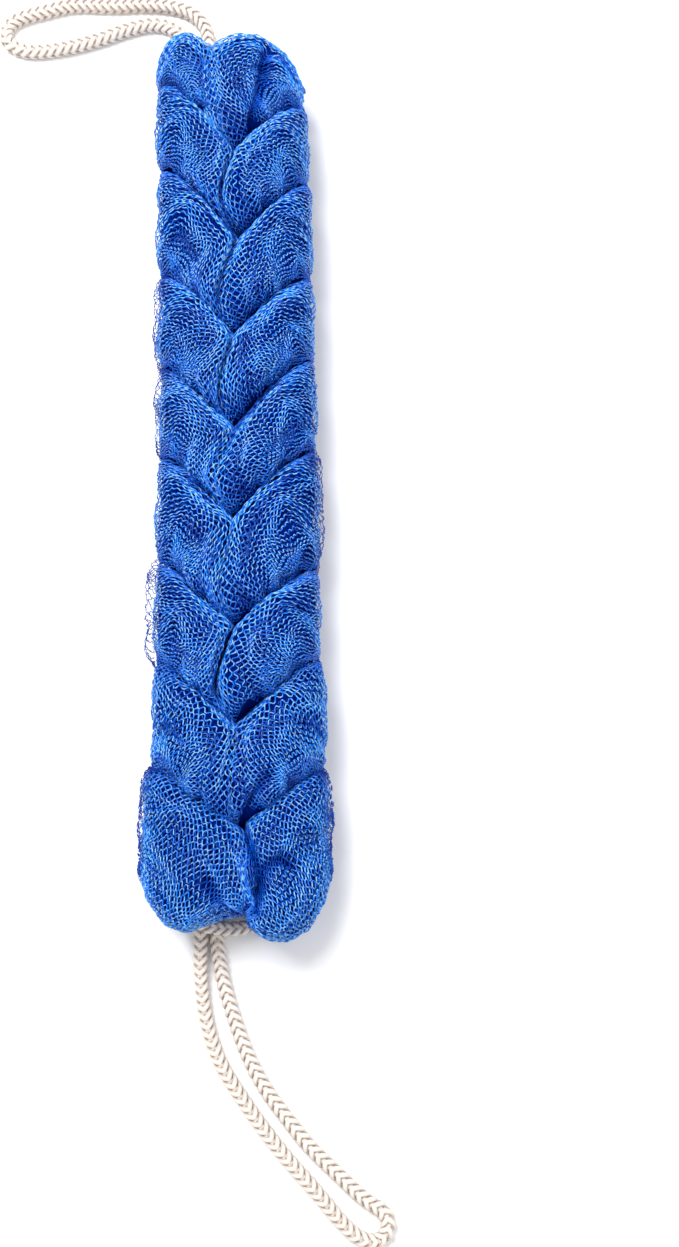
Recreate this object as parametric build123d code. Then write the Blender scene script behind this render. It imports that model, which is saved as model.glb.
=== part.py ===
from build123d import *
import math
import os

# A bath back scrubber: a tube of soft netting worked into a chain of nine V-shaped
# stitches, with a braided rope loop at each end. It lies flat: X across, Y along, Z up.
# Millimetres, with the origin on the ground under the middle of the netting.

# The netting's chain. Each stitch is two soft arms that meet on the centre line.
STITCHES = 9
MID_HEIGHT = 27.0          # height of every arm's middle above the ground
HALF_THICKNESS = 27.5      # the arms rest on a narrow flat, half a millimetre deep
STITCH_GAP = 1.0           # clear width between neighbouring stitches, so that they can bend
HALF_WIDTH_LIMIT = 45.5    # the widest arm
SHARED_STATIONS = [0, 7, 14, 20, 26, 31]   # the same in every arm, so neighbours stay parallel

# Where each seam between two stitches crosses the centre line, from the top stitch down,
# and how far it climbs from there to the arms' outer ends. Hand-worked, so uneven.
SEAM_Y = [154, 109, 59, 11, -33, -86, -133, -182]
SEAM_RISE_LEFT = [42, 42, 34, 34, 33, 33, 32, 29]
SEAM_RISE_RIGHT = [30, 34, 34, 39, 37, 30, 33, 28]

# How far each stitch's arms reach out from the centre line.
REACH_LEFT = [45, HALF_WIDTH_LIMIT, 44, 42.5, 41, 41.5, 41.5, 41, 44.5]
REACH_RIGHT = [31.5, 35, 37, 38, 39.5, 41, 41.5, 44.5, HALF_WIDTH_LIMIT]

# The rounded ends of the netting: (distance from the centre line, Y) of its outline.
TOP_EDGE_LEFT = [(0, 229), (7, 227.5), (17, 224.5), (24, 228), (30, 229.5), (36, 226), (41, 219), (45, 204)]
TOP_EDGE_RIGHT = [(0, 229.5), (4, 230), (10, 228), (18, 221), (26, 209), (31.5, 195)]
BOTTOM_EDGE_LEFT = [(0, -220), (13, -224), (22, -227.5), (31, -224.5), (38, -216), (44.5, -192)]
BOTTOM_EDGE_RIGHT = [(0, -220), (10, -228), (17, -230), (26, -229.5), (34, -226), (40, -219), (45.5, -190)]

# Braided rope and its knots.
ROPE_DIAMETER = 6.4
ROPE_RADIUS = ROPE_DIAMETER / 2
KNOT_RADIUS = 8.0
KNOT_CLEARANCE = 0.6
KNOT_TOP = (-22, 217, KNOT_RADIUS)
KNOT_BOTTOM = (-13, -211, KNOT_RADIUS)
SWING_SLOT_RADIUS = 15.0   # free space round each knot for the two strands to swing in

# The loops' routes, lying on the ground, from the knot round and back to it.
TOP_ROUTE = [
    (-19.5, 222), (-19.5, 235), (-23, 247), (-33.5, 255), (-52, 257.5), (-72, 256),
    (-92, 257.5), (-108, 253), (-120.5, 249.5), (-127.5, 244), (-127.5, 235.5), (-118.5, 230),
    (-107, 230), (-93, 232.5), (-78, 237), (-62, 243.5), (-48, 246.5), (-37, 242.5),
    (-29.5, 233), (-26, 222),
]
BOTTOM_ROUTE = [
    (-16.5, -217), (-17.2, -233), (-17, -249), (-14.5, -267), (-8.5, -286), (2, -302),
    (13, -317), (25, -331.5), (38, -345), (48.5, -357.5), (57, -365.5), (66, -368),
    (72, -362.5), (70.5, -354), (61, -349.5), (46, -335.5), (34, -324.5), (24, -312),
    (14.5, -300), (6, -285), (-0.5, -268), (-6, -251), (-9.3, -233), (-9.6, -217),
]

# The turn of rope round the bottom end of the netting, over the loop's two strands.
WRAP_HEIGHT = 10.2
WRAP_ROUTE = [(-28, -217), (-18, -225), (-4, -227.5), (9, -226), (19, -217)]


def seam(number, across, rise):
    """Y of seam `number` (1 to 8) at a distance from the centre line: a quarter sine wave."""
    end = 38.0
    turn = min(across, end) / end
    return SEAM_Y[number - 1] + rise[number - 1] * math.sin(math.pi / 2 * turn)


def along_edge(edge, across):
    """Y of a rounded end at a distance from the centre line, straight between its points."""
    for (x0, y0), (x1, y1) in zip(edge, edge[1:]):
        if across <= x1:
            return y0 + (y1 - y0) * (across - x0) / (x1 - x0)
    return edge[-1][1]


def arm(number, side):
    """One arm of a stitch: ellipses across Y and Z, carried outwards and closing to a tip."""
    left = side < 0
    rise = SEAM_RISE_LEFT if left else SEAM_RISE_RIGHT
    reach = (REACH_LEFT if left else REACH_RIGHT)[number - 1]
    top_edge = TOP_EDGE_LEFT if left else TOP_EDGE_RIGHT
    bottom_edge = BOTTOM_EDGE_LEFT if left else BOTTOM_EDGE_RIGHT
    sections = []
    inner = [across for across in SHARED_STATIONS if across < 0.8 * reach]
    for across in inner + [share * reach for share in (0.88, 0.96, 1.0)]:
        if number == 1:
            high = along_edge(top_edge, across)
        else:
            high = seam(number - 1, across, rise) - STITCH_GAP / 2
        if number == STITCHES:
            low = along_edge(bottom_edge, across)
        else:
            low = seam(number, across, rise) + STITCH_GAP / 2
        closing = min(across / reach, 0.99)
        half_length = (high - low) / 2 * math.sqrt(1 - closing ** 14)
        half_height = HALF_THICKNESS * math.sqrt(1 - closing ** 5)
        place = Plane(
            origin=(side * across, (high + low) / 2, MID_HEIGHT),
            x_dir=(0, 1, 0), z_dir=(1, 0, 0),
        )
        sections.append(place * Ellipse(half_length, half_height))
    ground = Pos(0, 0, -HALF_THICKNESS) * Box(200, 600, 2 * HALF_THICKNESS)
    return loft(sections, ruled=True) - ground


def flat_route(points, height):
    return [Vector(x, y, height) for x, y in points]


def rope(points, name):
    """A round tube along straight runs joined by tangent arcs as large as the runs allow."""
    radii = []
    for before, corner, after in zip(points, points[1:], points[2:]):
        turn = (corner - before).get_angle(after - corner)
        shorter = min((corner - before).length, (after - corner).length)
        radii.append(0.45 * shorter / math.tan(math.radians(turn) / 2))
    path = FilletPolyline(*points, radius=radii)
    start = Plane(origin=path @ 0, z_dir=path % 0)
    tube = sweep(start * Circle(ROPE_RADIUS), path=path)
    expected = math.pi * ROPE_RADIUS ** 2 * path.length
    print(f"{name}: length {path.length:.1f}, volume {tube.volume / expected:.4f} of section times length")
    print("  radii:", " ".join(f"{r:.0f}" for r in radii))
    return tube


def knot(centre):
    return Pos(*centre) * Sphere(KNOT_RADIUS)


def knot_room(centre):
    """The hollow a knot sits in, and the low slot its two strands swing through."""
    ball = Pos(*centre) * Sphere(KNOT_RADIUS + KNOT_CLEARANCE)
    slot_height = ROPE_DIAMETER + KNOT_CLEARANCE
    slot = Pos(centre[0], centre[1], slot_height / 2) * Cylinder(SWING_SLOT_RADIUS, slot_height)
    return ball + slot


parts = {}
for stitch in range(1, STITCHES + 1):
    parts[f"net_arm_left_{stitch}"] = arm(stitch, -1)
    parts[f"net_arm_right_{stitch}"] = arm(stitch, 1)

parts["rope_loop_top"] = rope(flat_route(TOP_ROUTE, ROPE_RADIUS), "rope_loop_top")
parts["rope_loop_bottom"] = rope(flat_route(BOTTOM_ROUTE, ROPE_RADIUS), "rope_loop_bottom")
parts["rope_knot_top"] = knot(KNOT_TOP)
parts["rope_knot_bottom"] = knot(KNOT_BOTTOM)
parts["rope_wrap_bottom"] = rope(flat_route(WRAP_ROUTE, WRAP_HEIGHT), "rope_wrap_bottom")

# The end stitches make room for the knots and for the turn of rope.
for side in ("left", "right"):
    parts[f"net_arm_{side}_1"] -= knot_room(KNOT_TOP)
    last = f"net_arm_{side}_{STITCHES}"
    parts[last] -= knot_room(KNOT_BOTTOM)
    parts[last] -= parts["rope_wrap_bottom"]

os.makedirs("parts", exist_ok=True)
for name, solid in parts.items():
    solid.label = name
    export_step(solid, f"parts/{name}.step")
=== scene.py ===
import bmesh
import bpy
import math
import numpy as np
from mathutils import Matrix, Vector


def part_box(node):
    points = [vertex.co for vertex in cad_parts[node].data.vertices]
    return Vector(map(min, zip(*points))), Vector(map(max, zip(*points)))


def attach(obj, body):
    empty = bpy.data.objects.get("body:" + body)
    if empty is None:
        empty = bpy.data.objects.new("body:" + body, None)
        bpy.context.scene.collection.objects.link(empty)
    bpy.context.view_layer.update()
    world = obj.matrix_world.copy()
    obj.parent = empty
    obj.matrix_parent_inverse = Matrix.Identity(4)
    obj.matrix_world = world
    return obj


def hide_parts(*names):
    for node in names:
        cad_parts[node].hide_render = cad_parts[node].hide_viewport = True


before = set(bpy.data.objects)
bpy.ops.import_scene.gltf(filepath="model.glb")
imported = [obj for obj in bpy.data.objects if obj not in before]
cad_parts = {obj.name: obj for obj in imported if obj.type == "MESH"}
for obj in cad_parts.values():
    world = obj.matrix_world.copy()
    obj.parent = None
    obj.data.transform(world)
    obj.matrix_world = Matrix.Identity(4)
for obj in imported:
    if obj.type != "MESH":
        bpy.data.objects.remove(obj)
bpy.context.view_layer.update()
MM = 0.001

# ---------------------------------------------------------------------------------------
# Studio: the camera looks down on the scrubber from over its lower end, leaning 11 degrees,
# with the scrubber in the left half of the view. Pale floor and soft light from all round.
TILT = math.radians(11)
AIM = Vector((49, -81.8, 25)) * MM      # the place that the camera and the lights look at
DISTANCE = 0.8            # from that place to the camera, in metres
LENS = 48.1               # focal length, in millimetres
FLOOR_HALF = 4.0          # from the floor's middle to its edges, in metres
WORLD_LIGHT = 0.55        # strength of the light from all round

camera_data = bpy.data.cameras.new("camera")
camera_data.lens = LENS
camera = bpy.data.objects.new("camera", camera_data)
camera.location = AIM + DISTANCE * Vector((0, -math.sin(TILT), math.cos(TILT)))
camera.rotation_euler = (TILT, 0, 0)
bpy.context.scene.collection.objects.link(camera)
bpy.context.scene.camera = camera
bpy.context.scene.view_settings.view_transform = "Standard"


def new_material(name, base, roughness):
    """A finish to start from, its node tree, and its shader with a plain colour and roughness."""
    material = bpy.data.materials.new(name)
    material.use_nodes = True
    shader = material.node_tree.nodes["Principled BSDF"]
    shader.inputs["Base Color"].default_value = (*base, 1)
    shader.inputs["Roughness"].default_value = roughness
    return material, material.node_tree, shader


def wire(tree, kind, inputs=(), **settings):
    """A new node with its settings, and each input either linked or given a value."""
    node = tree.nodes.new(kind)
    for key, value in settings.items():
        setattr(node, key, value)
    for key, value in dict(inputs).items():
        if isinstance(value, bpy.types.NodeSocket):
            tree.links.new(value, node.inputs[key])
        else:
            node.inputs[key].default_value = value
    return node


def mixed(tree, factor, first, second):
    """The colour between a first and a second one; the first is a link or three numbers."""
    mix = wire(tree, "ShaderNodeMix", {"Factor": factor}, data_type="RGBA")
    if isinstance(first, bpy.types.NodeSocket):
        tree.links.new(first, mix.inputs["A"])
    else:
        mix.inputs["A"].default_value = (*first, 1)
    mix.inputs["B"].default_value = (*second, 1)
    return mix.outputs["Result"]


def floor_finish():
    """Off-white, with a tone that drifts a little over a third of a metre."""
    material, tree, shader = new_material("pale_floor", (0.97, 0.97, 0.97), 0.7)
    place = wire(tree, "ShaderNodeTexCoord").outputs["Object"]
    grain = wire(tree, "ShaderNodeTexNoise", {"Vector": place, "Scale": 3.0}).outputs["Fac"]
    tone = mixed(tree, grain, (0.96, 0.96, 0.96), (0.98, 0.98, 0.98))
    tree.links.new(tone, shader.inputs["Base Color"])
    return material


floor_mesh = bpy.data.meshes.new("floor")
floor_corners = [(-FLOOR_HALF, -FLOOR_HALF, 0), (FLOOR_HALF, -FLOOR_HALF, 0),
                 (FLOOR_HALF, FLOOR_HALF, 0), (-FLOOR_HALF, FLOOR_HALF, 0)]
floor_mesh.from_pydata(floor_corners, [], [(0, 1, 2, 3)])
floor_mesh.materials.append(floor_finish())
floor = bpy.data.objects.new("floor", floor_mesh)
bpy.context.scene.collection.objects.link(floor)


def soft_light(name, place, size, power):
    """A square light turned to the scrubber, its size in metres and its power in watts."""
    data = bpy.data.lights.new(name, "AREA")
    data.size = size
    data.energy = power
    light = bpy.data.objects.new(name, data)
    light.location = place
    light.rotation_mode = "QUATERNION"
    light.rotation_quaternion = (AIM - Vector(place)).to_track_quat("-Z", "Y")
    bpy.context.scene.collection.objects.link(light)


soft_light("key_light", (-0.45, 0.45, 1.5), 0.7, 27)
soft_light("fill_light", (0.8, -0.4, 1.4), 1.2, 8)
world = bpy.data.worlds.new("studio")
world.use_nodes = True
world.node_tree.nodes["Background"].inputs["Color"].default_value = (1, 1, 1, 1)
world.node_tree.nodes["Background"].inputs["Strength"].default_value = WORLD_LIGHT
bpy.context.scene.world = world

# ---------------------------------------------------------------------------------------
# Rope loops: round rope braided from eight flat strands, four turning each way. Each loop
# lies on the ground from its knot, round its far end and back to the knot.
ROPE = 6.4                # the rope's own diameter, which the strands' sizes below are for
FULL_ROPE = 7.8           # diameter of a loop over its strands' high places
STRAND_WIDTH = 2.2
STRAND_THICKNESS = 1.5
STRAND_CORNERS = 8        # corners round a strand's section
WEAVE = 0.62              # how far a strand rises and dips over and under the others
CORE = 1.5                # radius of the filling that the strands are wound on
LEAD = 13.9               # length of rope in which a strand goes once round
ROUTE_SPACING = 0.8       # length of rope from one ring of points to the next
YARN_STEP = 10            # length of rope that the pattern of yarns counts as one
UPWARD = np.array([0.0, 0.0, 1.0])
TOP_ROUTE = [
    (-19.5, 222), (-19.5, 235), (-23, 247), (-33.5, 255), (-52, 257.5), (-72, 256),
    (-92, 257.5), (-108, 253), (-120.5, 249.5), (-127.5, 244), (-127.5, 235.5), (-118.5, 230),
    (-107, 230), (-93, 232.5), (-78, 237), (-62, 243.5), (-48, 246.5), (-37, 242.5),
    (-29.5, 233), (-26, 222),
]
BOTTOM_ROUTE = [
    (-16.5, -217), (-17.2, -233), (-17, -249), (-14.5, -267), (-8.5, -286), (2, -302),
    (13, -317), (25, -331.5), (38, -345), (48.5, -357.5), (57, -365.5), (66, -368),
    (72, -362.5), (70.5, -354), (61, -349.5), (46, -335.5), (34, -324.5), (24, -312),
    (14.5, -300), (6, -285), (-0.5, -268), (-6, -251), (-9.3, -233), (-9.6, -217),
]


def unit(vectors):
    return vectors / np.maximum(np.linalg.norm(vectors, axis=-1, keepdims=True), 1e-9)


def run_along(line):
    """Length of a line of points from its start to each of its points."""
    return np.append(0, np.cumsum(np.linalg.norm(np.diff(line, axis=0), axis=1)))


def follow_route(name, points, height):
    """Evenly spaced points on the smooth line that a route's corners pull, and its length."""
    curve = bpy.data.curves.new(name, "CURVE")
    curve.dimensions = "3D"
    curve.resolution_u = 24
    spline = curve.splines.new("NURBS")
    spline.points.add(len(points) - 1)
    corners = np.array([(x, y, height, 1) for x, y in points], float)
    spline.points.foreach_set("co", corners.ravel())
    spline.order_u = 3
    spline.use_endpoint_u = True
    holder = bpy.data.objects.new(name, curve)
    mesh = bpy.data.meshes.new_from_object(holder)
    line = np.empty(len(mesh.vertices) * 3)
    mesh.vertices.foreach_get("co", line)
    line = line.reshape(-1, 3)
    bpy.data.objects.remove(holder)
    bpy.data.meshes.remove(mesh)
    run = run_along(line)
    even = np.linspace(0, run[-1], int(run[-1] / ROUTE_SPACING))
    return np.stack([np.interp(even, run, line[:, i]) for i in range(3)], axis=1), run[-1]


def tube_faces(lines, count, around):
    """Quads of many tubes, each `count` rings of `around` corners, and a cap on every end."""
    ring = np.arange(around)
    start = (np.arange(lines)[:, None, None] * count + np.arange(count - 1)[None, :, None]) * around
    a = start + ring
    b = start + (ring + 1) % around
    quads = np.stack([a, b, b + around, a + around], axis=-1).reshape(-1, 4)
    first = np.arange(lines)[:, None] * count * around
    caps = np.concatenate([first + ring[::-1], first + (count - 1) * around + ring])
    return quads[:, ::-1], caps[:, ::-1]


def new_piece(name, points, face_sets, materials, face_material=None, uv=None):
    """A smooth mesh object from points in millimetres and sets of faces of equal size."""
    mesh = bpy.data.meshes.new(name)
    mesh.vertices.add(len(points))
    mesh.vertices.foreach_set("co", (np.asarray(points) * MM).ravel())
    corners = np.concatenate([f.ravel() for f in face_sets])
    sizes = np.concatenate([np.full(len(f), f.shape[1]) for f in face_sets])
    mesh.loops.add(len(corners))
    mesh.loops.foreach_set("vertex_index", corners)
    mesh.polygons.add(len(sizes))
    mesh.polygons.foreach_set("loop_start", np.append(0, np.cumsum(sizes)[:-1]))
    mesh.polygons.foreach_set("use_smooth", np.ones(len(sizes), bool))
    if face_material is not None:
        mesh.polygons.foreach_set("material_index", face_material)
    for material in materials:
        mesh.materials.append(material)
    if uv is not None:
        layer = mesh.uv_layers.new(name="lay")
        layer.data.foreach_set("uv", np.asarray(uv)[corners].ravel())
    mesh.update(calc_edges=True)
    mesh.validate()
    piece = bpy.data.objects.new(name, mesh)
    bpy.context.scene.collection.objects.link(piece)
    return piece


def braid(name, line, up, material, diameter):
    """Eight strands of elliptical section wound on a line. A strand lies at a middle radius plus
    the weave times tanh(2.5 sin 2a), a being its angle round the rope, or minus that if it turns
    the other way. So each quarter of the rope shows strands of one slant, and neighbouring
    quarters make a row of Vs."""
    scale = diameter / ROPE
    run = run_along(line)
    along = unit(np.gradient(line, axis=0))
    up = unit(up - along * np.sum(up * along, axis=1, keepdims=True))
    side = np.cross(along, up)
    way = np.repeat([1, -1], 4)[:, None]
    start = np.tile(np.arange(4), 2)[:, None] * math.pi / 2
    angle = way * 2 * math.pi * run / (LEAD * scale) + start
    middle = (ROPE - STRAND_THICKNESS) / 2 - WEAVE
    out = (middle + way * WEAVE * np.tanh(2.5 * np.sin(2 * angle))) * scale
    radial = np.cos(angle)[..., None] * side + np.sin(angle)[..., None] * up
    centre = line + out[..., None] * radial
    forward = unit(np.gradient(centre, axis=1))
    across = unit(np.cross(forward, radial))
    outward = np.cross(across, forward)
    turn = np.arange(STRAND_CORNERS) * 2 * math.pi / STRAND_CORNERS
    wide = np.cos(turn)[:, None] * across[:, :, None] * STRAND_WIDTH / 2
    thick = np.sin(turn)[:, None] * outward[:, :, None] * STRAND_THICKNESS / 2
    points = centre[:, :, None] + (wide + thick) * scale
    filling = line[:, None] + CORE * scale * (
        np.cos(turn)[:, None] * side[:, None] + np.sin(turn)[:, None] * up[:, None])
    points = np.concatenate([points, filling[None]])
    faces = tube_faces(9, len(line), STRAND_CORNERS)
    # The filling's UV lies at a strand's edge, so the finish gives it the darkest tone: painted shade.
    width = np.concatenate([np.tile(np.cos(turn) * 0.5 + 0.5, (8, 1)), np.ones((1, STRAND_CORNERS))])
    uv = np.stack(np.broadcast_arrays(width[:, None, :], (run / YARN_STEP)[None, :, None]), axis=-1)
    return new_piece(name, points.reshape(-1, 3), faces, [material], uv=uv.reshape(-1, 2))


def math_node(tree, operation, first, second=0.0):
    return wire(tree, "ShaderNodeMath", {0: first, 1: second}, operation=operation).outputs[0]


def rope_finish():
    """Off-white spun yarn: six fine yarns slant across each strand. Its edges, where the strands
    press together, and the filling get a warmer and darker tone, which is painted shade."""
    material, tree, shader = new_material("rope_yarn", (0.78, 0.71, 0.64), 0.75)
    lay = wire(tree, "ShaderNodeUVMap", uv_map="lay").outputs[0]
    split = wire(tree, "ShaderNodeSeparateXYZ", {0: lay})
    slant = math_node(tree, "ADD", math_node(tree, "MULTIPLY", split.outputs["X"], 6.0),
                      math_node(tree, "MULTIPLY", split.outputs["Y"], 9.0))
    yarns = math_node(tree, "SINE", math_node(tree, "MULTIPLY", slant, 2 * math.pi))
    place = wire(tree, "ShaderNodeTexCoord").outputs["Object"]
    fuzz = wire(tree, "ShaderNodeTexNoise", {"Vector": place, "Scale": 1800.0, "Detail": 3.0}).outputs["Fac"]
    blotch = wire(tree, "ShaderNodeTexNoise", {"Vector": place, "Scale": 90.0}).outputs["Fac"]
    # Painted shade: a strand darkens towards its edges, plus random blotches.
    edge = math_node(tree, "ABSOLUTE", math_node(tree, "SUBTRACT", split.outputs["X"], 0.5))
    painted_edge_shade = math_node(tree, "POWER", math_node(tree, "MULTIPLY", edge, 2.0), 3.0)
    painted_shade_and_blotch = math_node(tree, "ADD", painted_edge_shade, math_node(tree, "MULTIPLY", blotch, 0.2))
    tone = mixed(tree, painted_shade_and_blotch, (0.93, 0.86, 0.79), (0.52, 0.42, 0.36))
    tree.links.new(tone, shader.inputs["Base Color"])
    relief = math_node(tree, "ADD", math_node(tree, "MULTIPLY", yarns, 0.4), fuzz)
    bump = wire(tree, "ShaderNodeBump", {"Height": relief, "Distance": 0.0002, "Strength": 0.6})
    tree.links.new(bump.outputs[0], shader.inputs["Normal"])
    rough = wire(tree, "ShaderNodeMapRange", {0: fuzz, 3: 0.65, 4: 0.9}).outputs[0]
    tree.links.new(rough, shader.inputs["Roughness"])
    return material


ROPE_YARN = rope_finish()
for end, route in (("top", TOP_ROUTE), ("bottom", BOTTOM_ROUTE)):
    line, length = follow_route(f"route_{end}", route, FULL_ROPE / 2)
    loop = braid(f"rope_{end}", line, np.broadcast_to(UPWARD, line.shape), ROPE_YARN, FULL_ROPE)
    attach(loop, f"{end}_loop")
    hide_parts(f"rope_loop_{end}")

# ---------------------------------------------------------------------------------------
# Knots: the two ends of each loop are tied together in an overhand knot of the same rope,
# pulled tight. The netting is gathered over it, so it hardly shows.
KNOT_ROPE = 5.6           # diameter of the rope where the knot squeezes it
KNOT_POINTS = 90
KNOT_WAVE = 1.6           # height of the knot's waves, where its rings are 1 to 3 wide

for end in ("top", "bottom"):
    low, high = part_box(f"rope_knot_{end}")
    middle = np.array((low + high) / 2) / MM
    size = (high.z - low.z) / MM / 2 - KNOT_ROPE / 2
    # A trefoil: at angle 2t the line is 2 + cos 3t from the knot's middle, and sin 3t up.
    turn = np.linspace(0, 2 * math.pi, KNOT_POINTS)
    away = 2 + np.cos(3 * turn)
    knot_line = np.stack([
        away * np.cos(2 * turn), away * np.sin(2 * turn), KNOT_WAVE * np.sin(3 * turn),
    ], axis=1) / 3 * size
    knot = braid(f"knot_{end}", knot_line + middle, knot_line + UPWARD, ROPE_YARN, KNOT_ROPE)
    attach(knot, f"{end}_loop")
    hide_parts(f"rope_knot_{end}")

# ---------------------------------------------------------------------------------------
# Turn of rope: the bottom rope goes round the gathered end of the netting, over the two
# strands of its own loop, and holds the end shut.
WRAP_ROUTE = [(-28, -217), (-18, -225), (-4, -227.5), (9, -226), (19, -217)]
WRAP_HEIGHT = 10.2        # of the rope's middle above the ground
WRAP_ROPE = 7.6           # diameter of the rope there, over its strands' high places
WRAP_SHIFT = [0, 1.2, 0.6]      # into the netting and up off the loop

line, length = follow_route("route_wrap", WRAP_ROUTE, WRAP_HEIGHT)
wrap = braid("rope_wrap", line + WRAP_SHIFT, np.broadcast_to(UPWARD, line.shape), ROPE_YARN, WRAP_ROPE)
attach(wrap, "stitch_9")
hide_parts("rope_wrap_bottom")

# ---------------------------------------------------------------------------------------
# Gathered net: the scrubber is one soft tube of knitted plastic net, worked into a chain of
# stitches. Every stitch has a left and a right arm, which come round from the back over the
# outer edge and arch across the front. The bodies made here are an arm's many inner layers.
STITCHES = 9
MID_HEIGHT = 27.0         # height of the arms' outer edge above the ground
FRONT_HEIGHT = 27.3       # from there up to the front of the netting
BACK_HEIGHT = 26.4        # and down to its back
CENTRE_X = [-17.5, -3, 0, -2, -2, -1, 0, 1.5, 2, 5]     # of the top end and of each stitch's centre
TOP_CENTRE_Y = 211.0
BOTTOM_CENTRE_Y = -220.0
OVERLAP = 4.0             # how far an arm bulges over the stitch below it
SEAM_REACH = 0.90         # how far out a seam goes, as a share of the arms' own reach
SLACK = 1.8               # room left for the strands and folds that stand out from an arm
SEAM_GAP = 1.5            # how much higher than the next arm's box a seam begins
PULLED_DOWN = 3.0         # how far the front of a right arm is drawn over towards the centre
TURNED_UNDER = 0.35       # share of a lower seam that strands follow before they turn under
DEPTH_RANGE = 24          # depth below the outside at which an arm would have no width left

# One value for each stitch, after a 0 that stands for none.
CREASE = [0, 3, 8, 8, 7, 9, 8, 8, 3, -4]        # how far the right arm bulges over the left one
MERGE = [0, 9, 3, 3, 3, 3, 3, 3, 4, 4]          # how far the two arms press together
TUCKED = [0, 0, 2.5, 1, 1, 1, 1, 1, 1.5, 3]     # how far an arm goes on behind the stitch above

TOP_OUTLINE = {
    "left": [(-43.5, 200), (-40.5, 209), (-33, 215.5), (-25, 216), (-17.5, 211)],
    "right": [(31.5, 194), (26, 204), (17, 213.5), (5, 218), (-8, 217), (-17.5, 211)],
}
BOTTOM_OUTLINE = {
    "left": [(-44.5, -197), (-40, -213), (-31, -224.5), (-22, -227.5), (-13, -224), (-4, -221), (6, -219)],
    "right": [(45.5, -197), (42, -214), (35, -226), (25, -231.5), (16, -231), (8, -226), (4, -219)],
}
FOLDS = {   # grooves pressed into an arm: places that a groove passes, half its width, its depth
    ("right", 1): [([(14, 205), (11, 187), (7, 165)], 3.5, 7.0)],
    ("left", 1): [([(-19, 198), (-13, 172)], 5.0, 5.0)],
    ("right", 3): [([(1, 58), (6, 64)], 2.5, 4.5)],
    ("right", 4): [([(9, 21), (14, 27)], 2.5, 4.5)],
    ("right", 7): [([(4, -131), (8, -125)], 2.5, 5.0)],
    ("left", 7): [([(1, -89), (-5, -110), (-8, -122)], 2.5, 4.0)],
    ("right", 8): [([(16, -158), (10, -169), (5, -178)], 3.0, 5.5)],
    ("right", 9): [([(3, -182), (9, -195), (12, -208), (10, -219)], 3.6, 8.5),
                   ([(12, -208), (17, -198), (23, -195), (28, -198)], 2.8, 6.5)],
    ("left", 9): [([(-11, -206), (-4, -217)], 3.2, 6.0)],
}
PLEATS = ((1.7, 0.9), (3.1, 0.7), (5.3, 0.35))      # waves across an arm, and their height


def arm_box(side, stitch):
    low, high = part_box(f"net_arm_{side}_{stitch}")
    return np.array(low) / MM, np.array(high) / MM


def centre_point(stitch):
    """Where the strands of a stitch are pulled in; 0 is the top end of the first stitch."""
    if stitch == 0:
        return np.array([CENTRE_X[0], TOP_CENTRE_Y])
    if stitch == STITCHES:
        return np.array([CENTRE_X[STITCHES], BOTTOM_CENTRE_Y])
    low, high = arm_box("left", stitch)
    return np.array([CENTRE_X[stitch], low[1] - 0.5])


def reach(side, stitch):
    low, high = arm_box(side, stitch)
    return -low[0] if side == "left" else high[0]


def smooth_line(points, samples=241, width=9):
    """A rounded line through given corners: even steps, then a moving average."""
    points = np.array(points, float)
    run = run_along(points)
    even = np.linspace(0, run[-1], samples)
    line = np.stack([np.interp(even, run, points[:, i]) for i in range(2)], axis=1)
    before = 2 * line[:1] - line[width:0:-1]
    after = 2 * line[-1:] - line[-2:-width - 2:-1]
    longer = np.concatenate([before, line, after])
    kernel = np.hanning(2 * width + 3)[1:-1]
    kernel /= kernel.sum()
    return np.stack([np.convolve(longer[:, i], kernel, "valid") for i in range(2)], axis=1)


def seam_line(side, stitch, steps=60):
    """The seam under a stitch, from the outer edge to the centre: its climb is 0.45 of a
    straight line and 0.55 of a quarter sine wave."""
    sign = -1 if side == "left" else 1
    centre = centre_point(stitch)
    low, high = arm_box(side, stitch + 1)
    width = (reach(side, stitch) + reach(side, stitch + 1)) / 2 * SEAM_REACH - sign * centre[0]
    share = np.linspace(1, 0, steps)
    climb = high[1] + SEAM_GAP - centre[1]
    rise = 0.55 * np.sin(math.pi / 2 * share) + 0.45 * share
    return np.stack([centre[0] + sign * width * share, centre[1] + climb * rise], axis=1)


def arm_borders(side, stitch):
    """The arm's upper border, which goes on down the centre, and its lower border."""
    middle = np.linspace(centre_point(stitch - 1), centre_point(stitch), 40)
    along = np.linspace(0, 1, 40)
    pressed = MERGE[stitch] * np.sin(math.pi * (0.15 + 0.85 * along))
    middle[:, 0] -= CREASE[stitch] * np.sin(math.pi * along ** 1.5)
    middle[:, 0] += pressed if side == "left" else -pressed
    middle[:, 1] += TUCKED[stitch] * (1 - along)
    if stitch == 1:
        upper = np.concatenate([TOP_OUTLINE[side], middle[3:]])
    else:
        upper = np.concatenate([seam_line(side, stitch - 1) + [0, TUCKED[stitch]], middle[1:]])
    lower = BOTTOM_OUTLINE[side] if stitch == STITCHES else seam_line(side, stitch)
    return smooth_line(upper), smooth_line(lower, width=3)


def at_shares(line, share):
    """Points of a line at shares of its way, as one column of a grid."""
    steps = np.linspace(0, 1, len(line))
    return np.stack([np.interp(share, steps, line[:, i]) for i in range(2)], axis=1)[:, None]


def rounded(away, square, blunt):
    """A bulge that is 1 at 0 and falls to 0 at 1: one minus a power, to the root `blunt`."""
    return np.clip(1 - away ** square, 0, 1) ** (1 / blunt)


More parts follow.
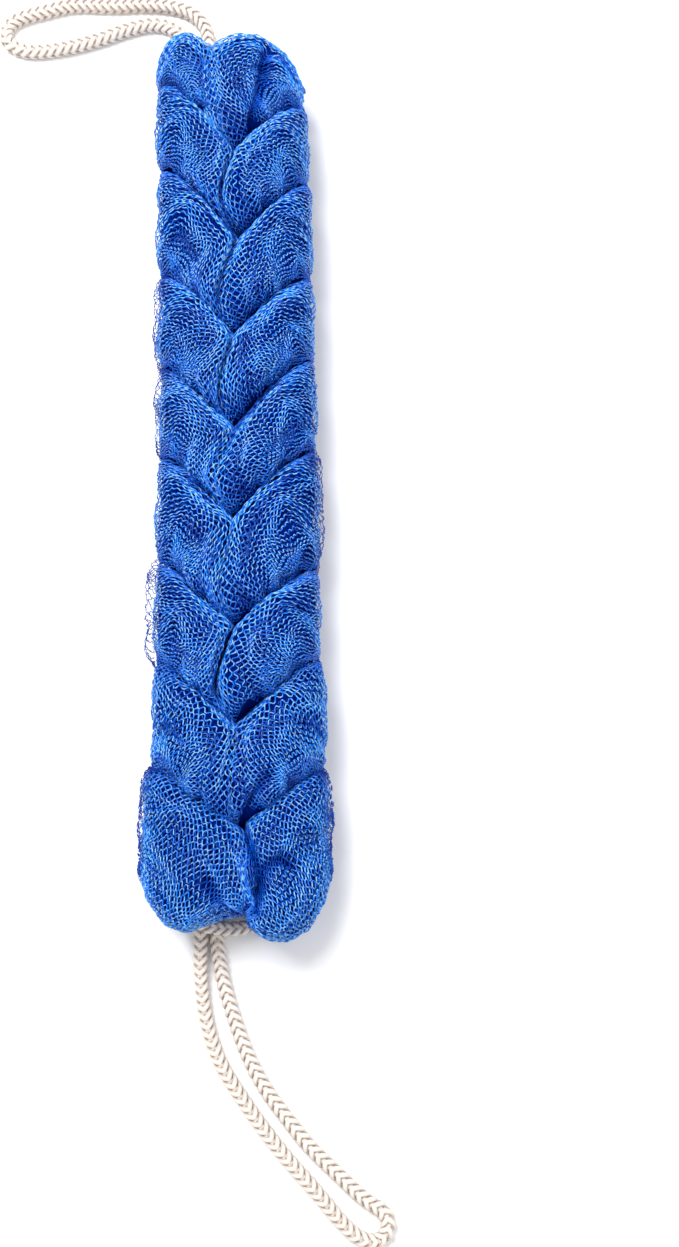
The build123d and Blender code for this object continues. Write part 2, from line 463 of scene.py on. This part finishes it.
def arm_surface(side, stitch, depth, rows, columns):
    """Points of an arm on a grid. Rows run from the centre of the back (-1) round the outer edge
    (0) to the centre of the front (1). Columns run from the lower border (-1) to the upper (1).
    In plan a point is a blend of the two borders. The blend is lifted by a share of blend times
    (1 - blend) that changes along the arm, so that columns start low on the outer edge and arch
    over. Its height is a rounded profile from the outer edge inwards, times one from border to
    border and one at the tip. `depth` is how far the surface lies below the netting's outside."""
    sign = -1 if side == "left" else 1
    upper, lower = arm_borders(side, stitch)
    row = np.linspace(-1, 1, rows)
    share = np.abs(row) ** 1.35
    column = np.sin(np.linspace(-1, 1, columns) * math.pi / 2 * 0.9) / math.sin(math.pi / 2 * 0.9)
    top = at_shares(upper, share)
    bottom = at_shares(lower, share if stitch == STITCHES else share * TURNED_UNDER)
    lift = np.where(row > 0, np.interp(share, [0, 0.1, 0.25, 0.5, 0.85], [-0.45, 0.0, 0.6, 0.5, 0.0]),
                    np.interp(share, [0, 0.25], [-0.45, 0.0]))
    blend = (1 + column[None, :]) / 2
    c = 2 * blend * (1 + lift[:, None] * (1 - blend)) - 1
    spread = c[..., None] * (1 - depth / DEPTH_RANGE)
    plan = top * (1 + spread) / 2 + bottom * (1 - spread) / 2
    x, y = plan[..., 0], plan[..., 1]

    start, end = centre_point(stitch - 1), centre_point(stitch)
    centre_x = np.interp(-y, [-start[1], -end[1]], [start[0], end[0]])
    edge_x = x[rows // 2][None, :]
    level = np.clip(np.abs(x - centre_x) / np.abs(edge_x - centre_x), 0, 1)
    bulge = reach(side, stitch) - SLACK - depth - np.abs(edge_x)
    x = x + sign * bulge * (1 - np.abs(c) ** 4) * level ** 2

    s = share[:, None]
    ridge = np.where(c > 0, rounded(np.abs(c), 3.2, 1.9), rounded(np.abs(c), 4.5, 2.2))
    height = rounded(level, 3.0, 2.2) * ridge * rounded(s, 12, 2.2)
    overlap = OVERLAP if stitch < STITCHES else 0
    y = y - overlap * height * np.maximum(np.where(c < 0, c ** 2, 0), s ** 4)
    if side == "right":
        x = x - PULLED_DOWN * height * np.clip(c, 0, 1) ** 2 * np.clip(s * 2.5 - 1, 0, 1)
    up = (FRONT_HEIGHT - depth) * height
    down = (BACK_HEIGHT - depth) * np.minimum(height * 1.06, 1)
    z = MID_HEIGHT + np.where((row >= 0)[:, None], up, -down)
    return np.stack([x, y, z], axis=-1), row, column


def surface_normals(points, side):
    """Outward directions, square to a grid's two families of lines."""
    square = unit(np.cross(np.gradient(points, axis=0), np.gradient(points, axis=1)))
    return -square if side == "right" else square


def groove_depth(plan, places, half_width, depth):
    """How far a surface is pressed in near a line of places: a bell-shaped groove."""
    places = np.array(places, float)
    nearest = np.full(plan.shape[:2], np.inf)
    for start, end in zip(places[:-1], places[1:]):
        share = np.clip(np.sum((plan - start) * (end - start), axis=-1) / np.sum((end - start) ** 2), 0, 1)
        away = np.linalg.norm(plan - start - share[..., None] * (end - start), axis=-1)
        nearest = np.minimum(nearest, away)
    return depth * np.exp(-(nearest / half_width) ** 2)


def pressed_in(points, side, stitch, row):
    """How deep the grooves of an arm are at each point of its front."""
    depth = np.zeros(points.shape[:2])
    for places, half_width, deepest in FOLDS.get((side, stitch), []):
        depth += groove_depth(points[..., :2], places, half_width, deepest)
    return depth * np.clip(row[:, None] * 10, 0, 1)


def pleats(points, stitch, side, row, column, seed):
    """Soft folds that run along the arm: a few sine waves across it that wander slowly, less
    the depth of the arm's grooves."""
    chance = np.random.default_rng(seed)
    r, c = row[:, None], column[None, :]
    fold = np.zeros((len(row), len(column)))
    for waves, size in PLEATS:
        wander = 0.18 * np.sin(2.3 * r + chance.uniform(0, 6)) + 0.1 * np.sin(5.1 * r + chance.uniform(0, 6))
        fold += size * np.sin(2 * math.pi * (waves * (c / 2 + wander)) + chance.uniform(0, 6))
    fold = fold * (1 - np.abs(c) ** 6) * (0.45 + 0.55 * np.clip(np.abs(r) * 4, 0, 1))
    return fold - pressed_in(points, side, stitch, row)


def shaded_body_finish():
    """Many layers of net seen through the outer one, coloured a very deep blue as painted shade,
    with rows of paler strands, each row a sine wave along the arm that comes near its
    neighbours in turn."""
    material, tree, shader = new_material("body_net_painted_shade", (0.004, 0.03, 0.25), 0.75)
    shader.inputs["Specular IOR Level"].default_value = 0.0
    lay = wire(tree, "ShaderNodeUVMap", uv_map="lay").outputs[0]
    split = wire(tree, "ShaderNodeSeparateXYZ", {0: lay})
    turn = math_node(tree, "MULTIPLY", split.outputs["X"], 2 * math.pi)
    wave = math_node(tree, "MULTIPLY", math_node(tree, "SINE", turn), 0.2)
    rows = []
    for shift, way in ((0.0, "ADD"), (0.5, "SUBTRACT")):
        lane = math_node(tree, "ADD", split.outputs["Y"], shift)
        place = math_node(tree, "FRACT", math_node(tree, way, lane, wave))
        away = math_node(tree, "ABSOLUTE", math_node(tree, "SUBTRACT", place, 0.5))
        rows.append(away)
    nearest = math_node(tree, "MINIMUM", rows[0], rows[1])
    strand = wire(tree, "ShaderNodeMapRange", {0: nearest, 1: 0.13, 2: 0.03}).outputs[0]
    # Painted shade: both tones are far darker than the outer strands.
    tone = mixed(tree, strand, (0.0005, 0.010, 0.16), (0.001, 0.025, 0.26))
    tree.links.new(tone, shader.inputs["Base Color"])
    rough = wire(tree, "ShaderNodeMapRange", {0: strand, 3: 0.85, 4: 0.6}).outputs[0]
    tree.links.new(rough, shader.inputs["Roughness"])
    bump = wire(tree, "ShaderNodeBump", {"Height": strand, "Distance": 0.0006, "Strength": 0.8})
    tree.links.new(bump.outputs[0], shader.inputs["Normal"])
    return material


def close_borders(piece):
    """The front and the back of an arm end at the same points, so that merging them closes it."""
    work = bmesh.new()
    work.from_mesh(piece.data)
    bmesh.ops.remove_doubles(work, verts=work.verts, dist=0.01 * MM)
    work.to_mesh(piece.data)
    work.free()


def arm_seed(side, stitch):
    return 10 * stitch + (side == "right")


BODY_DEPTH = 2.2          # how far a body lies below the netting's outside
BODY_INSET = 0.3          # how much further in it lies than its own folds
BODY_FLOOR = 0.3          # lowest height of a body above the ground
BODY_GRID = (121, 44)     # points along an arm and across it
PATTERN_ALONG = 30        # cells of the finish from the outer edge to the centre
STRANDS = 34              # strands across an arm in its outer layer
# The bodies are coloured a very deep blue as painted shade of the layers inside.
SHADED_BODY_NET = shaded_body_finish()

for stitch in range(1, STITCHES + 1):
    for side in ("left", "right"):
        points, rows, columns = arm_surface(side, stitch, BODY_DEPTH, *BODY_GRID)
        raised = pleats(points, stitch, side, rows, columns, arm_seed(side, stitch)) - BODY_INSET
        raised *= (1 - np.abs(rows[:, None]) ** 24) * (1 - np.abs(columns[None, :]) ** 12)
        points = points + surface_normals(points, side) * raised[..., None]
        points[..., 2] = np.maximum(points[..., 2], BODY_FLOOR)
        index = np.arange(BODY_GRID[0] * BODY_GRID[1]).reshape(BODY_GRID)
        quads = np.stack([index[:-1, :-1], index[1:, :-1], index[1:, 1:], index[:-1, 1:]], axis=-1)
        quads = quads.reshape(-1, 4)
        if side == "right":
            quads = quads[:, ::-1]
        uv = np.broadcast_arrays(rows[:, None] * PATTERN_ALONG, columns[None, :] * STRANDS / 3)
        uv = np.stack(uv, axis=-1).reshape(-1, 2)
        core = new_piece(f"net_body_{side}_{stitch}", points.reshape(-1, 3), [quads], [SHADED_BODY_NET], uv=uv)
        close_borders(core)
        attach(core, f"stitch_{stitch}")
        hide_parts(f"net_arm_{side}_{stitch}")

# ---------------------------------------------------------------------------------------
# Net: the outer layers of each arm, knitted from glossy plastic filament. The strands run
# along the arm and meet their neighbours in six-sided cells. Below the outer layer lies a
# second one, coloured darker as painted shade, and on some arms a loose layer stands off
# the outer edge.
CELL_LENGTH = 3.4
END_STRANDS = 10          # further strands that close the two ends of the netting
STRAND_RADIUS = 0.36
INNER_STRANDS = 28
INNER_DEPTH = 1.5         # how far the inner layer lies below the outer one
VEIL_STRANDS = 26
VEIL_RADIUS = 0.2
VEILS = {("left", 4): 2.0, ("left", 5): 2.0, ("left", 7): 4.0, ("right", 6): 2.0,
         ("left", 9): 2.0, ("right", 9): 2.0}      # how far the loose layer stands off an arm
LOWEST = 0.05             # height of the lowest strand above the ground
NET_GRID = (240, 90)      # points along an arm and across it


def on_grid(values, rows, columns, row, column):
    """Values of a grid between its points, by straight blending of the nearest four."""
    i = np.interp(row, rows, np.arange(len(rows)))
    j = np.interp(column, columns, np.arange(len(columns)))
    i0 = np.clip(i.astype(int), 0, len(rows) - 2)
    j0 = np.clip(j.astype(int), 0, len(columns) - 2)
    u, v = (i - i0)[..., None], (j - j0)[..., None]
    return ((1 - u) * (1 - v) * values[i0, j0] + u * (1 - v) * values[i0 + 1, j0]
            + (1 - u) * v * values[i0, j0 + 1] + u * v * values[i0 + 1, j0 + 1])


def strand_places(stitch, seed, strands, count, step, lane, row):
    """Where each strand runs across an arm. It keeps to its lane, swings by a share of a step
    towards one neighbour and then the other, more where the net is pulled open, and drifts by
    two slow sine waves."""
    open_up = 0.5 + 0.5 * np.sin(4.1 * row + lane / 11 + seed)
    width = np.clip(0.14 + 0.30 * np.clip(np.abs(row) * 3 - 1, 0, 1) * (0.3 + open_up), 0, 0.5)
    if stitch >= STITCHES - 1:
        width = np.maximum(width, 0.42)
    ahead = (np.arange(count) // 2 % 2)[None, :] == (np.arange(strands) % 2)[:, None]
    swing = np.where(ahead, 1, -1) * step * width
    drift = step * (0.7 * np.sin(lane / 3 + 11 * row + seed) + 0.5 * np.sin(17 * row - lane / 5 + 2 * seed))
    return lane + swing + drift


def net_layer(side, stitch, depth, seed, strands, row_from, row_to, radius=STRAND_RADIUS):
    """One layer of net on an arm: three-cornered tubes along lanes of even width. Each strand
    waves a little in and out, and curls near the centre, where the net is pulled in. Its UV
    counts cells along the strand, and carries how much painted shade the strand gets: most near
    a border that goes under the next stitch, near the front's centre and in grooves."""
    points, rows, columns = arm_surface(side, stitch, depth, *NET_GRID)
    outward = surface_normals(points, side)
    grooves = pressed_in(points, side, stitch, rows)
    points = points + outward * pleats(points, stitch, side, rows, columns, seed)[..., None]
    inner = np.abs(columns) < 0.85
    step = np.linalg.norm(np.diff(points[:, inner], axis=0), axis=-1).mean(axis=1)
    run = np.append(0, np.cumsum(step))
    along = np.arange(np.interp(row_from, rows, run), np.interp(row_to, rows, run), CELL_LENGTH / 4)
    count = len(along)
    across = np.linalg.norm(np.diff(points[np.abs(rows) > 0.2], axis=1), axis=-1).mean(axis=0)
    across = np.append(0, np.cumsum(across))
    first = -0.999 if stitch == STITCHES else -0.96
    last = 0.999 if stitch == 1 else 0.96
    low, high = np.interp([first, last], columns, across)
    if stitch in (1, STITCHES):
        strands += END_STRANDS
    step = (high - low) / strands
    lane = low + step * (np.arange(strands) + 0.5)[:, None]
    row = np.interp(along, run, rows)[None, :]
    place = strand_places(stitch, seed, strands, count, step, lane, row)
    column = np.interp(np.clip(place, low - 0.3 * step, high + 0.3 * step), across, columns)
    row = row + 0.006 * np.sin(lane / 2 + seed) + np.zeros_like(column)
    centre = on_grid(points, rows, columns, row, column)
    outward = unit(on_grid(outward, rows, columns, row, column))
    phase = np.random.default_rng(seed + 7).uniform(0, 2 * math.pi, (strands, 1))
    lift = 0.25 * np.sin(along[None, :] / 1.1 + phase) + 0.35 * np.sin(along[None, :] / 6.1 + 2.3 * phase)
    curl = np.clip(row * 5 - 3.9, 0, 1) * np.sin(along[None, :] / 0.42 + 3 * phase)
    centre = centre + outward * (lift + 0.5 * curl)[..., None]
    forward = unit(np.gradient(centre, axis=1))
    sideways = unit(np.cross(forward, outward))
    turn = np.array([90, 210, 330]) * math.pi / 180
    ring = np.cos(turn)[:, None] * sideways[:, :, None] + np.sin(turn)[:, None] * outward[:, :, None]
    corners = centre[:, :, None] + ring * radius
    corners[..., 2] = np.maximum(corners[..., 2], LOWEST)
    quads, caps = tube_faces(strands, count, 3)
    # Painted shade: strands darken near borders under the next stitch, near the front's centre and in
    # grooves.
    tucked = np.maximum(-column * (stitch < STITCHES), column * (stitch > 1))
    painted_shade_mask = np.maximum(np.clip(tucked * 2.5 - 1.5, 0, 1), np.clip(row * 6 - 5, 0, 1))
    grooved = on_grid(grooves[..., None], rows, columns, row, column)[..., 0]
    painted_shade_mask = np.maximum(painted_shade_mask, np.clip(grooved / 5, 0, 1))
    cells = along / CELL_LENGTH + phase / (2 * math.pi)
    uv = np.stack(np.broadcast_arrays(cells[..., None], painted_shade_mask[..., None], np.zeros(3)), axis=-1)
    return corners.reshape(-1, 3), quads, caps, uv[..., :2].reshape(-1, 2)


def strand_finish(name, dark, light, painted_glint_tone, roughness, specular):
    """Glossy plastic filament: the tone drifts from dark to light along the netting, with a painted
    highlight, a pale glint, once in every cell. Where the UV carries painted shade, it stays dark
    and has no glints."""
    material, tree, shader = new_material(name, light, roughness)
    shader.inputs["Specular IOR Level"].default_value = specular
    place = wire(tree, "ShaderNodeTexCoord").outputs["Object"]
    drift = wire(tree, "ShaderNodeTexNoise", {"Vector": place, "Scale": 110.0, "Detail": 3.0}).outputs["Fac"]
    fine = wire(tree, "ShaderNodeTexNoise", {"Vector": place, "Scale": 900.0}).outputs["Fac"]
    lay = wire(tree, "ShaderNodeUVMap", uv_map="lay").outputs[0]
    split = wire(tree, "ShaderNodeSeparateXYZ", {0: lay})
    # Painted shade from the UV: the share left unshaded.
    unshaded_share = math_node(tree, "SUBTRACT", 1.0, split.outputs["Y"])
    body = wire(tree, "ShaderNodeMapRange", {0: drift, 1: 0.35, 2: 0.6}).outputs[0]
    tone = mixed(tree, math_node(tree, "MULTIPLY", body, unshaded_share), dark, light)
    cells = math_node(tree, "ADD", split.outputs["X"], math_node(tree, "MULTIPLY", drift, 0.9))
    away = math_node(tree, "ABSOLUTE", math_node(tree, "SUBTRACT", math_node(tree, "FRACT", cells), 0.5))
    # Painted highlight: a pale dash once in every cell, broken up by fine noise.
    glint_dash = wire(tree, "ShaderNodeMapRange", {0: away, 1: 0.34, 2: 0.18}).outputs[0]
    patch = wire(tree, "ShaderNodeMapRange", {0: fine, 1: 0.36, 2: 0.5}).outputs[0]
    painted_glint = math_node(tree, "MULTIPLY", math_node(tree, "MULTIPLY", glint_dash, patch), unshaded_share)
    tree.links.new(mixed(tree, painted_glint, tone, painted_glint_tone), shader.inputs["Base Color"])
    rough = wire(tree, "ShaderNodeMapRange", {0: fine, 3: roughness - 0.08, 4: roughness + 0.1}).outputs[0]
    tree.links.new(rough, shader.inputs["Roughness"])
    bump = wire(tree, "ShaderNodeBump", {"Height": fine, "Distance": 0.0001, "Strength": 0.3})
    tree.links.new(bump.outputs[0], shader.inputs["Normal"])
    return material


OUTER_NET = strand_finish("outer_net", (0.001, 0.10, 0.66), (0.004, 0.25, 1.0),
                          (0.27, 0.60, 1.0), 0.28, 0.3)
# The inner layer is the same filament coloured darker, as painted shade, with dimmer painted glints.
SHADED_INNER_NET = strand_finish("inner_net_painted_shade", (0.001, 0.02, 0.28), (0.002, 0.05, 0.42),
                          (0.01, 0.13, 0.62), 0.50, 0.25)

for stitch in range(1, STITCHES + 1):
    for side in ("left", "right"):
        seed = arm_seed(side, stitch)
        layers = [net_layer(side, stitch, 0.0, seed, STRANDS, -0.95, 0.985),
                  net_layer(side, stitch, INNER_DEPTH, seed + 500, INNER_STRANDS, -0.25, 0.95)]
        if (side, stitch) in VEILS:
            off = -VEILS[side, stitch]
            layers.append(net_layer(side, stitch, off, seed + 900, VEIL_STRANDS, -0.16, 0.12, VEIL_RADIUS))
        shift = np.cumsum([0] + [len(layer[0]) for layer in layers])
        corners = np.concatenate([layer[0] for layer in layers])
        quads = np.concatenate([layer[1] + shift[i] for i, layer in enumerate(layers)])
        caps = np.concatenate([layer[2] + shift[i] for i, layer in enumerate(layers)])
        kind = np.concatenate([np.full(len(layer[face]), min(i, 1)) for face in (1, 2)
                               for i, layer in enumerate(layers)])
        uv = np.concatenate([layer[3] for layer in layers])
        net = new_piece(f"net_{side}_{stitch}", corners, [quads, caps], [OUTER_NET, SHADED_INNER_NET], kind, uv)
        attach(net, f"stitch_{stitch}")
        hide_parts(f"net_arm_{side}_{stitch}")
